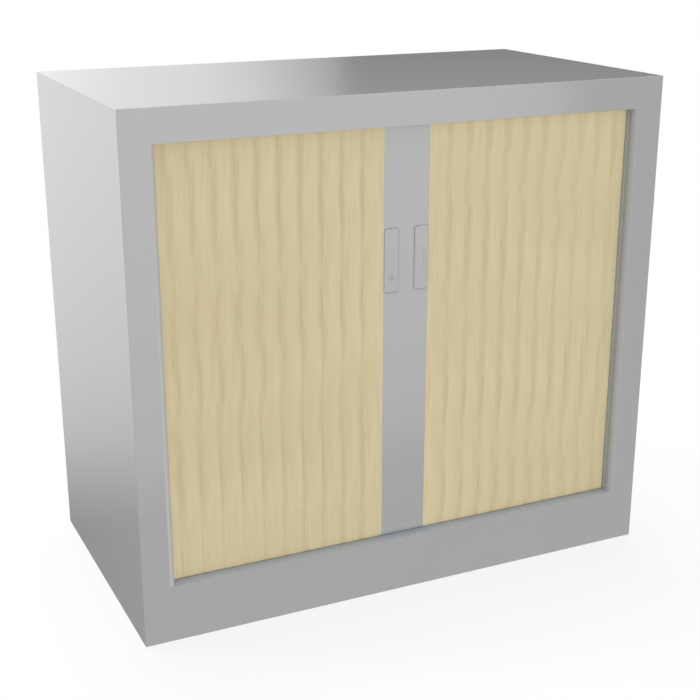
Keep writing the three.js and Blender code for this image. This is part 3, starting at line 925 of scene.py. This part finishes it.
@dataclass
class Carcass:
    """The painted outer shell, the trays, the inner walls and what stands on them.

    The jambs are sheet, folded back to the jamb's depth and rolled towards the face. The edging is a
    strip with a bead, a little air away from the jamb.
    """

    finishes: Finishes
    edge: float = 0.0005
    fold: float = 0.0009
    roll: float = 0.0095
    opening_half: float = 0.354
    jamb_depth: float = 0.012
    sheet: float = 0.00125
    bead: float = 0.007
    bead_width: float = 0.0021
    air: float = 0.00005
    sill_slope: float = 0.5
    jamb_slope: float = 0.005

    def build(self) -> None:
        """Builds the shell and dresses what the CAD model already shapes."""
        self._shell()
        self._inside()
        self._guides()
        self._edgings()

    def _shell(self) -> None:
        """Rounds the shell's outer corners and leaves its ground welds sharp and closed."""

        def outer(a: Vector, b: Vector) -> bool:
            """Whether both ends lie on the same two outer faces of the cupboard."""
            faces = [(axis, corner[axis]) for axis in range(3) for corner in cad_box]
            return sum(max(abs(a[axis] - at), abs(b[axis] - at)) < SAME_FACE for axis, at in faces) >= 2

        paint = self.finishes.paint
        for node in ("side_panel_left", "side_panel_right", "top_panel"):
            refined(node, "sheet", CARCASS_BODY, Slot.CARCASS, paint, self.edge, outer)
        frame_sheet = refined("front_frame", "sheet", CARCASS_BODY, Slot.CARCASS, paint, self.edge, outer)
        self._coat_opening(frame_sheet)
        dressed("back_panel", paint)

    def _coat_opening(self, piece: bpy.types.Object) -> None:
        """Gives the opening's sill and jambs matt coats with painted light and shade.

        Args:
            piece: The front frame.
        """
        sill, right, left = SECOND_FINISH, SECOND_FINISH + 1, SECOND_FINISH + 2
        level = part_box("bottom_track_front")[1].z
        rolled = cad_box[0].y + self.roll * 2
        for coat in (self.finishes.sill, self.finishes.jamb, self.finishes.left_jamb):
            piece.data.materials.append(coat)
        # Painted light on the sill and the left jamb, paler than the paint; painted shade on the right
        # jamb.
        for face in piece.data.polygons:
            middle, way = face.center, face.normal
            inwards = 0 < abs(middle.x) - self.opening_half < self.roll
            if way.z > self.sill_slope and abs(middle.z - level) < self.fold * 2:
                face.material_index = sill
            elif abs(way.x) > self.jamb_slope and inwards and middle.y < rolled:
                face.material_index = right if way.x < 0 else left

    def _inside(self) -> None:
        """Dresses the trays, the inner walls, the shelf and its clips."""
        inside, zinc = self.finishes.inside, self.finishes.zinc
        dressed("floor_panel", inside)
        dressed("ceiling_panel", inside)
        for side in Side:
            dressed(f"inner_wall_{side.word}", inside)
            for place in Place:
                clip = f"shelf_clip_{place.word}_{side.word}"
                refined(clip, "sheet", CARCASS_BODY, Slot.ZINC, zinc, SMALL_ROUND)
        refined("shelf", "sheet", CARCASS_BODY, Slot.INSIDE, inside, self.fold / 2)

    def _guides(self) -> None:
        """Dresses the guides with die lines along their runs."""
        along = self.finishes.guide_along
        for level in ("bottom", "top"):
            dressed(f"{level}_track_front", self.finishes.guide_across)
            for side in Side:
                track = f"{level}_track_{side.word}"
                refined(track, "sheet", CARCASS_BODY, Slot.GUIDE, along, SMALL_ROUND)

    def _edgings(self) -> None:
        """Clips a plastic edging on the raw edge behind each jamb."""
        half, air, outside = self.opening_half, self.air, self.opening_half + self.bead_width
        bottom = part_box("bottom_track_front")[1].z + air
        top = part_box("top_track_front")[0].z - air
        edge = cad_box[0].y + self.jamb_depth
        parts = (
            ((half + air, edge + air), (outside, edge + self.bead)),
            ((half + self.sheet, edge - self.bead), (outside, edge + self.bead / 2)),
        )
        for side in Side:
            blocks = []
            for (near, front), (far, back) in parts:
                left, right = sorted((side.value * near, side.value * far))
                start, end = Vector((left, front, bottom)), Vector((right, back, top))
                blocks.append(rounded_block(start, end, SMALL_ROUND))
            name = f"jamb_edging_{side.word}"
            finished(joined(blocks), name, CARCASS_BODY, Slot.PROFILE, self.finishes.edging)


@dataclass
class BackScrews:
    """The low screws that hold the back panel to the inner walls and the trays."""

    finishes: Finishes
    radius: float = 0.0042
    height: float = 0.0011
    taper: float = 0.72
    rim: float = 0.38
    recess: float = 0.0007
    segments: int = 18
    wall_inset: float = 0.006
    wall_shares: tuple[float, ...] = (0.08, 0.36, 0.64, 0.92)
    tray_inset: float = 0.002
    tray_columns: tuple[float, ...] = (-0.24, 0.0, 0.24)

    def build(self) -> None:
        """Sets a head at each place."""
        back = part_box("back_panel")[1].y
        heads = []
        for x, z in self._places():
            head = self._head()
            move(head, (x, back, z))
            heads.append(head)
        finished(joined(heads), "back_panel_screws", CARCASS_BODY, Slot.ZINC, self.finishes.zinc)

    def _places(self) -> list[tuple[float, float]]:
        """Where the screws sit.

        Returns:
            Their places as (X, Z).
        """
        low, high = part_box("inner_wall_right")
        floor_low, floor_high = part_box("floor_panel")
        ceiling_low, ceiling_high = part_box("ceiling_panel")
        heights = [low.z + (high.z - low.z) * share for share in self.wall_shares]
        column = high.x - self.wall_inset
        rows = (
            (floor_low.z + floor_high.z) / 2 - self.tray_inset,
            (ceiling_low.z + ceiling_high.z) / 2 + self.tray_inset,
        )
        places = [(side.value * column, z) for side in Side for z in heights]
        return places + [(x, z) for x in self.tray_columns for z in rows]

    def _head(self) -> BMesh:
        """One flat screw head with a recess, standing on Y = 0 and facing back.

        Returns:
            The head as a shape.
        """
        shape = bmesh.new()
        bmesh.ops.create_cone(
            shape,
            cap_ends=True,
            segments=self.segments,
            radius1=self.radius,
            radius2=self.radius * self.taper,
            depth=self.height,
        )
        shape.normal_update()
        top = max(shape.faces, key=lambda face: face.calc_center_median().z)
        bmesh.ops.inset_region(shape, faces=[top], thickness=self.radius * self.rim)
        sunk = bmesh.ops.extrude_discrete_faces(shape, faces=[top])["faces"]
        corners = list({v for face in sunk for v in face.verts})
        bmesh.ops.translate(shape, vec=(0, 0, -self.recess), verts=corners)
        move(shape, (0, 0, self.height / 2))
        turn_back(shape)
        bmesh.ops.recalc_face_normals(shape, faces=shape.faces[:])
        return shape


@dataclass
class Handle:
    """A raised pull on a closing profile, with a shallow groove for the fingertips."""

    side: Side
    finishes: Finishes
    rim: float = 0.0003
    leftwards: float = -0.3
    upwards: float = 0.45

    def build(self) -> None:
        """Rounds the front and the groove's mouth, and coats the left and upper edges paler, as painted
        light.
        """
        word = self.side.word
        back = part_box(f"closing_profile_{word}")[0].y

        def front(a: Vector, b: Vector) -> bool:
            """Whether an edge lies in front of the closing profile."""
            return max(a.y, b.y) < back - self.rim * 3

        body, coat = f"{word}_closing_profile", self.finishes.handle
        piece = refined(f"handle_{word}", "moulding", body, Slot.HANDLE, coat, self.rim, front)
        piece.data.materials.append(self.finishes.handle_edge)
        # Painted light: faces turned left or up take the paler coat.
        for face in piece.data.polygons:
            if face.normal.x < self.leftwards or face.normal.z > self.upwards:
                face.material_index = SECOND_FINISH


@dataclass
class Lock:
    """The lock in the left handle: a turned head with a keyway, its cam and the keeper."""

    finishes: Finishes
    head: float = 0.005
    head_depth: float = 0.0005
    barrel: float = 0.004
    stub: float = 0.0035
    stub_length: float = 0.004
    chamfer: float = 0.0002
    plug: float = 0.0024
    keyway: Triple = (0.0004, 0.0005, 0.003)
    keyway_round: float = 0.00012
    plate_round: float = 0.00015
    steps: int = 40

    def build(self) -> None:
        """Builds the barrel and dresses the cam and the keeper."""
        self._barrel(*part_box("lock_barrel"))
        zinc = self.finishes.zinc
        for node, body in (("lock_cam", "lock"), ("lock_keeper", "right_closing_profile")):
            refined(node, "plate", body, Slot.ZINC, zinc, self.plate_round)

    def _barrel(self, low: Vector, high: Vector) -> None:
        """Turns the barrel, cuts its keyway and plates its plug.

        Args:
            low: The lowest corner of the barrel's box.
            high: Its highest corner.
        """
        shape = turned(self._profile(low, high), self.steps)
        turn_back(shape)
        centre = Vector(((low.x + high.x) / 2, 0, (low.z + high.z) / 2))
        move(shape, centre)
        coat = self.finishes.handle
        piece = finished(shape, "lock_barrel_turned", "lock", Slot.LOCK, coat, ["lock_barrel"])
        self._cut_keyway(piece, Vector((centre.x, low.y, centre.z)))
        piece.data.materials.append(self.finishes.nickel)
        for face in piece.data.polygons:
            reach = (face.center - centre).cross(Vector((0, 1, 0))).length
            if reach < self.plug and face.center.y < low.y + self.head_depth:
                face.material_index = SECOND_FINISH

    def _profile(self, low: Vector, high: Vector) -> Outline:
        """The barrel's profile.

        Args:
            low: The lowest corner of the barrel's box.
            high: Its highest corner.

        Returns:
            Points as (radius, distance along Y), from the head to the stub's end.
        """
        head_back = low.y + self.head_depth
        step = high.y - self.stub_length
        ring = low.y + self.chamfer / 2
        return [
            (0.0, low.y),
            (self.plug - self.chamfer / 2, low.y),
            (self.plug, ring),
            (self.head - self.chamfer, ring),
            (self.head, ring + self.chamfer),
            (self.head, head_back),
            (self.barrel, head_back),
            (self.barrel, step),
            (self.stub, step),
            (self.stub, high.y),
            (0.0, high.y),
        ]

    def _cut_keyway(self, piece: bpy.types.Object, face: Vector) -> None:
        """Cuts the upright keyway into the head.

        Args:
            piece: The barrel.
            face: The middle of the head's face.
        """
        half = Vector(self.keyway) / 2
        tool_mesh = mesh_of(rounded_block(face - half, face + half, self.keyway_round), "keyway_tool")
        tool = linked("keyway_tool", tool_mesh)
        cut = piece.modifiers.new("keyway", "BOOLEAN")
        cut.object = tool
        cut.operation = "DIFFERENCE"
        cut.solver = "EXACT"
        bpy.context.view_layer.update()
        seen = piece.evaluated_get(bpy.context.evaluated_depsgraph_get())
        result = bpy.data.meshes.new_from_object(seen)
        piece.modifiers.clear()
        old = piece.data
        piece.data = result
        bpy.data.meshes.remove(old)
        bpy.data.objects.remove(tool)
        bpy.data.meshes.remove(tool_mesh)


@dataclass
class Curtain:
    """One tambour curtain: its slats, nearly flush in front, and the closing profile that leads them.

    A slat's face is crowned, with a groove along its inner edge, of which a strip is covered by the
    slat before it, and a rounded lip along its outer edge. Behind the lip the slat draws in by the
    flare times its depth. The print drifts by a little from each slat to the next.
    """

    side: Side
    finishes: Finishes
    print_shift: float
    crown: float = 0.00028
    setback: float = 0.00013
    groove_width: float = 0.0032
    groove_depth: float = 0.00047
    groove_curve: float = 1.1
    covered: float = 0.0007
    lip_width: float = 0.001
    lip_drop: float = 0.0001
    lip_back: float = 0.00042
    flare: float = 6.6
    body_back: float = 0.0026
    face_steps: int = 30
    gap: float = 0.0003
    drift: float = 0.004
    seam: float = 0.00031
    seal_depth: float = 0.006
    seal_reach: float = 0.9
    seal_round: float = 0.000031

    def build(self) -> None:
        """Builds every slat and the closing profile."""
        word = self.side.word
        number = 1
        while f"slat_{word}_{number:02d}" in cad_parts:
            self._slat(number)
            number += 1
        node, body = f"closing_profile_{word}", f"{word}_closing_profile"
        shape, coat = merged_copy(node), self.finishes.profile
        finished(shape, f"{node}_extrusion", body, Slot.PROFILE, coat, [node], weighted=True)
        self._seal(body, *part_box(node))

    def _seal(self, body: str, low: Vector, high: Vector) -> None:
        """Adds the strips that make the two profiles meet flush. The left one also closes the joint.

        Args:
            body: The body that it rides on.
            low: The lowest corner of the closing profile's box.
            high: Its highest corner.
        """
        if self.side is Side.LEFT:
            start = Vector((high.x - self.seam, low.y, low.z))
            end = Vector((-high.x * self.seal_reach, low.y + self.seal_depth, high.z))
        else:
            start = Vector((low.x, low.y, low.z))
            end = Vector((low.x + self.seam, low.y + self.seam, high.z))
        shape = rounded_block(start, end, self.seal_round, 1)
        finished(shape, f"meeting_strip_{self.side.word}", body, Slot.PROFILE, self.finishes.profile)

    def _slat(self, number: int) -> None:
        """Builds one slat.

        Args:
            number: Its place in the curtain, from the closing profile outwards.
        """
        word = self.side.word
        node = f"slat_{word}_{number:02d}"
        body = f"{word}_closing_profile" if number == 1 else node
        low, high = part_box(node)
        section = self._section(high.x - low.x, number == 1)
        shape = bmesh.new()
        corners = [shape.verts.new((self.side.value * x, y, 0)) for x, y in section]
        raised = bmesh.ops.extrude_face_region(shape, geom=[shape.faces.new(corners)])["geom"]
        tops = [v for v in raised if isinstance(v, BMVert)]
        bmesh.ops.translate(shape, vec=(0, 0, high.z - low.z), verts=tops)
        bmesh.ops.recalc_face_normals(shape, faces=shape.faces[:])
        move(shape, ((low.x + high.x) / 2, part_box(f"closing_profile_{word}")[0].y, low.z))
        piece = finished(shape, f"{node}_foil", body, Slot.SLAT, self.finishes.foil, [node])
        self._mark(piece, number)

    def _section(self, width: float, first: bool) -> Outline:
        """A slat's section in plan.

        Args:
            width: The slat's width.
            first: Whether it lies against the closing profile, and so has no groove there.

        Returns:
            Points as (distance outwards from the slat's middle, distance behind the curtain's front).
        """
        half = width / 2
        inner = -half - (self.gap if first else 0.0)
        turn = math.pi / self.face_steps
        steps = [-half * math.cos(i * turn) for i in range(self.face_steps + 1)]
        face = [(max(inner, x), self._face(x, half, first)) for x in steps]
        if first:
            face[0] = (inner, face[0][1])
        full = half - (self.body_back - self.lip_back) * self.flare
        return [*face, (half, self.lip_back), (full, self.body_back), (inner, self.body_back)]

    def _face(self, x: float, half: float, first: bool) -> float:
        """How far a point of a slat's face lies behind the curtain's front.

        Args:
            x: The point's distance outwards from the slat's middle.
            half: Half the slat's width.
            first: Whether the slat has no groove.

        Returns:
            The distance in Y.
        """
        depth = self.setback - self.crown * (1 - (x / half) ** 2)
        into = max(0.0, x + half - self.covered)
        if into < self.groove_width and not first:
            depth += self.groove_depth * (1 - into / self.groove_width) ** self.groove_curve
        share = max(0.0, (x - half + self.lip_width) / self.lip_width)
        return depth + self.lip_drop * (1 - math.sqrt(max(0.0, 1 - share * share)))

    def _mark(self, piece: bpy.types.Object, number: int) -> None:
        """Writes where each point lies on the slat's print: outwards, along and in which slat.

        Args:
            piece: The slat.
            number: Its place in the curtain.
        """
        mesh = piece.data
        xs = [v.co.x for v in mesh.vertices]
        middle, half = (min(xs) + max(xs)) / 2, (max(xs) - min(xs)) / 2
        shift = self.print_shift + self.drift * number
        marks = mesh.attributes.new(SLAT_PLACE, "FLOAT_VECTOR", "POINT")
        for mark, vertex in zip(marks.data, mesh.vertices):
            outwards = self.side.value * (vertex.co.x - middle) / half
            mark.vector = (outwards, vertex.co.z + shift, float(number))


@dataclass
class Plinth:
    """The plinth rails, the nuts in them and the levelling feet.

    The pad's profile gives each point as a share of the pad's radius, how far it stays inside that,
    and its height.
    """

    finishes: Finishes
    pad: tuple[Triple, ...] = (
        (0.0, 0.0, 0.0005),
        (0.72, 0.0, 0.0005),
        (0.78, 0.0, 0.0),
        (1.0, 0.0012, 0.0),
        (1.0, 0.0003, 0.0006),
        (1.0, 0.0, 0.0015),
        (1.0, 0.0, 0.0042),
        (1.0, 0.0004, 0.0052),
        (1.0, 0.0015, 0.006),
        (0.55, 0.0, 0.006),
        (0.0, 0.0, 0.006),
    )
    pad_steps: int = 32
    collar_radius: float = 0.007
    collar_depth: float = 0.003
    collar_height: float = 0.0072
    stud: float = 0.004
    stud_steps: int = 20
    stud_foot: float = 0.007
    stud_chamfer: float = 0.0006
    thread_start: float = 0.009
    thread_stop: float = 0.001
    thread_depth: float = 0.0005
    thread_pitch: float = 0.0015

    def build(self) -> None:
        """Builds the feet and dresses the rails and the nuts."""
        zinc = self.finishes.zinc
        for side in Side:
            dressed(f"plinth_rail_{side.word}", self.finishes.inside)
            for place in Place:
                where = f"{place.word}_{side.word}"
                refined(f"foot_nut_{where}", "plated", CARCASS_BODY, Slot.ZINC, zinc, SMALL_ROUND)
                self._foot(f"levelling_foot_{where}", f"foot_{where}")

    def _foot(self, node: str, body: str) -> None:
        """Builds one foot: a dished pad, a six-sided collar and a ridged stud.

        Args:
            node: The CAD node that it replaces.
            body: The body that it rides on.
        """
        low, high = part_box(node)
        centre = Vector(((low.x + high.x) / 2, (low.y + high.y) / 2, 0))
        radius = (high.x - low.x) / 2
        pad = turned([(radius * share - inset, z) for share, inset, z in self.pad], self.pad_steps)
        collar = bmesh.new()
        bmesh.ops.create_cone(
            collar,
            cap_ends=True,
            segments=6,
            radius1=self.collar_radius,
            radius2=self.collar_radius,
            depth=self.collar_depth,
        )
        move(collar, (0, 0, self.collar_height))
        round_edges(collar, collar.edges[:], SMALL_ROUND)
        solid = joined([pad, collar])
        move(solid, centre)
        finished(solid, f"{node}_pad", body, Slot.FOOT, self.finishes.foot, [node], weighted=True)
        stud = turned(self._stud_profile(high.z), self.stud_steps)
        move(stud, centre)
        finished(stud, f"{node}_stud", body, Slot.ZINC, self.finishes.zinc, [node])

    def _stud_profile(self, top: float) -> Outline:
        """The ridged stud's profile.

        Args:
            top: The stud's upper end.

        Returns:
            Its points as (radius, height).
        """
        root = self.stud - self.thread_depth
        points = [(0.0, self.stud_foot), (root, self.stud_foot)]
        height = self.thread_start
        while height + self.thread_pitch < top - self.thread_stop:
            points += [(root, height), (self.stud, height + self.thread_pitch / 2)]
            height += self.thread_pitch
        chamfer = self.stud_chamfer
        return [*points, (root, height), (root, top - chamfer), (root - chamfer, top), (0.0, top)]


@dataclass(frozen=True)
class Lamp:
    """A far, soft lamp: where it stands, its watts per square metre and how wide it looks, in degrees."""

    name: str
    way: Triple
    power: float
    spread: float

    def build(self) -> None:
        """Adds the lamp, unseen by gloss."""
        data = bpy.data.lights.new(self.name, "SUN")
        data.energy = self.power
        data.angle = math.radians(self.spread)
        lamp = linked(self.name, data)
        lamp.rotation_euler = facing(-Vector(self.way))
        lamp.visible_glossy = False


@dataclass
class Studio:
    """The floor, the surroundings that gloss mirrors, the lamps and the camera.

    Gloss mirrors a wall in front of the cupboard and one behind it. Each is a grey that changes from
    left to right, times a sky that changes upwards.
    """

    floor_half: float = 14.0
    floor_grey: float = 0.8
    floor_glow: float = 0.86
    ambient: float = 0.45
    lamps: tuple[Lamp, ...] = (
        Lamp("front_lamp", (-0.18, -1.0, 0.15), 1.332, 9.0),
        Lamp("left_lamp", (-0.8, 0.5, 0.3), 1.7, 20.0),
        Lamp("top_lamp", (0.0, 0.25, 1.0), 1.943, 25.0),
    )
    camera_place: Triple = (-0.804815, -1.729874, 0.943852)
    camera_way: Triple = (0.402549, 0.858466, -0.317789)
    camera_reach: tuple[float, float] = (0.05, 60.0)
    lens: float = 66.7965
    sensor: float = 36.0
    turn_skew: float = 0.09
    sky_skew: float = 0.08
    sky_middle: float = 0.183
    front_wall: Stops = (
        (0.0, 0.0), (0.1, 0.1), (0.16, 1.0), (0.44, 0.93), (0.47, 0.84),
        (0.488, 0.68), (0.498, 0.04), (0.51, 0.0), (0.6, 0.0), (0.66, 1.0),
    )
    back_wall: Stops = (
        (0.0, 1.0), (0.24, 0.9), (0.3, 0.885), (0.35, 0.72), (0.4, 0.65), (0.44, 0.51),
        (0.49, 0.215), (0.507, 0.03), (0.515, 0.0), (0.7, 0.0), (0.76, 1.0),
    )
    front_sky: Stops = (
        (0.2915, 0.0), (0.2935, 0.3), (0.2955, 0.6), (0.3105, 0.7), (0.3233, 0.826),
        (0.3365, 0.888), (0.364, 1.076), (0.43, 1.25), (1.0, 1.1),
    )
    back_sky: Stops = (
        (0.2825, 0.0), (0.29, 0.105), (0.3013, 0.296), (0.3128, 0.5), (0.3245, 0.61),
        (0.3415, 0.743), (0.379, 0.9), (0.428, 1.06), (0.56, 1.175),
    )

    def build(self) -> None:
        """Builds everything that isn't part of the cupboard."""
        self._floor()
        self._surroundings()
        for lamp in self.lamps:
            lamp.build()
        self._camera()
        bpy.context.scene.view_settings.view_transform = "Standard"

    def _floor(self) -> None:
        """Adds a plain pale floor that keeps a light shadow."""
        shape = bmesh.new()
        bmesh.ops.create_grid(shape, x_segments=1, y_segments=1, size=self.floor_half)
        floor = linked("studio_floor", mesh_of(shape, "studio_floor"))
        material, graph = new_graph("studio_floor")
        grey = (self.floor_grey, self.floor_grey, self.floor_grey, 1.0)
        matt = graph.signal("ShaderNodeBsdfDiffuse", None, {"Color": grey}, "BSDF")
        clear = graph.signal("ShaderNodeBsdfTransparent", None, None, "BSDF")
        seen, mirrored = graph.rays()
        pale = graph.either(self.floor_glow, matt, graph.glow(1.0))
        lit = graph.either(seen, graph.glow(self.ambient), pale)
        graph.node("ShaderNodeOutputMaterial", None, {"Surface": graph.either(mirrored, lit, clear)})
        floor.data.materials.append(material)

    def _surroundings(self) -> None:
        """Lights the world evenly, shows the camera white and gives gloss the two walls."""
        world = bpy.data.worlds.new("studio")
        bpy.context.scene.world = world
        world.use_nodes = True
        graph = Graph(world.node_tree)
        x, y, z = graph.axes(graph.signal("ShaderNodeTexCoord", None, None, "Generated"))
        # A little over 1, so that nothing is divided by 0 straight up.
        level = (1.0001 - z * z) ** 0.5
        turn = (x + y * self.turn_skew) / level
        rise = z * 0.5 + 0.5
        front_sky = graph.ramp(rise - self.sky_skew * (turn - self.sky_middle), self.front_sky)
        front = graph.blend(1.0, graph.ramp(turn, self.front_wall), front_sky, "MULTIPLY")
        back_sky = graph.ramp(rise, self.back_sky)
        back = graph.blend(1.0, graph.ramp(turn, self.back_wall), back_sky, "MULTIPLY")
        seen, mirrored = graph.rays()
        walls = graph.blend(y > 0.0, front, back)
        lit = graph.blend(mirrored, (self.ambient, self.ambient, self.ambient), walls)
        shown = graph.blend(seen, lit, (1.0, 1.0, 1.0))
        background = graph.signal("ShaderNodeBackground", None, {"Color": shown, "Strength": 1.0})
        graph.node("ShaderNodeOutputWorld", None, {"Surface": background})

    def _camera(self) -> None:
        """Sets the camera where the photograph was taken from."""
        data = bpy.data.cameras.new("picture_camera")
        data.lens = self.lens
        data.sensor_width = self.sensor
        data.clip_start, data.clip_end = self.camera_reach
        camera = linked("picture_camera", data)
        camera.location = self.camera_place
        camera.rotation_euler = facing(Vector(self.camera_way))
        bpy.context.scene.camera = camera


def main() -> None:
    """Builds the cupboard's looks in order."""
    logging.basicConfig(level=logging.INFO, format="%(name)s: %(message)s")
    finishes = Finishes.made()
    Studio().build()
    Carcass(finishes).build()
    BackScrews(finishes).build()
    Plinth(finishes).build()
    for side in Side:
        Curtain(side, finishes, PRINT_SHIFT[side]).build()
    for side in Side:
        Handle(side, finishes).build()
    Lock(finishes).build()


if __name__ == "__main__":
    main()
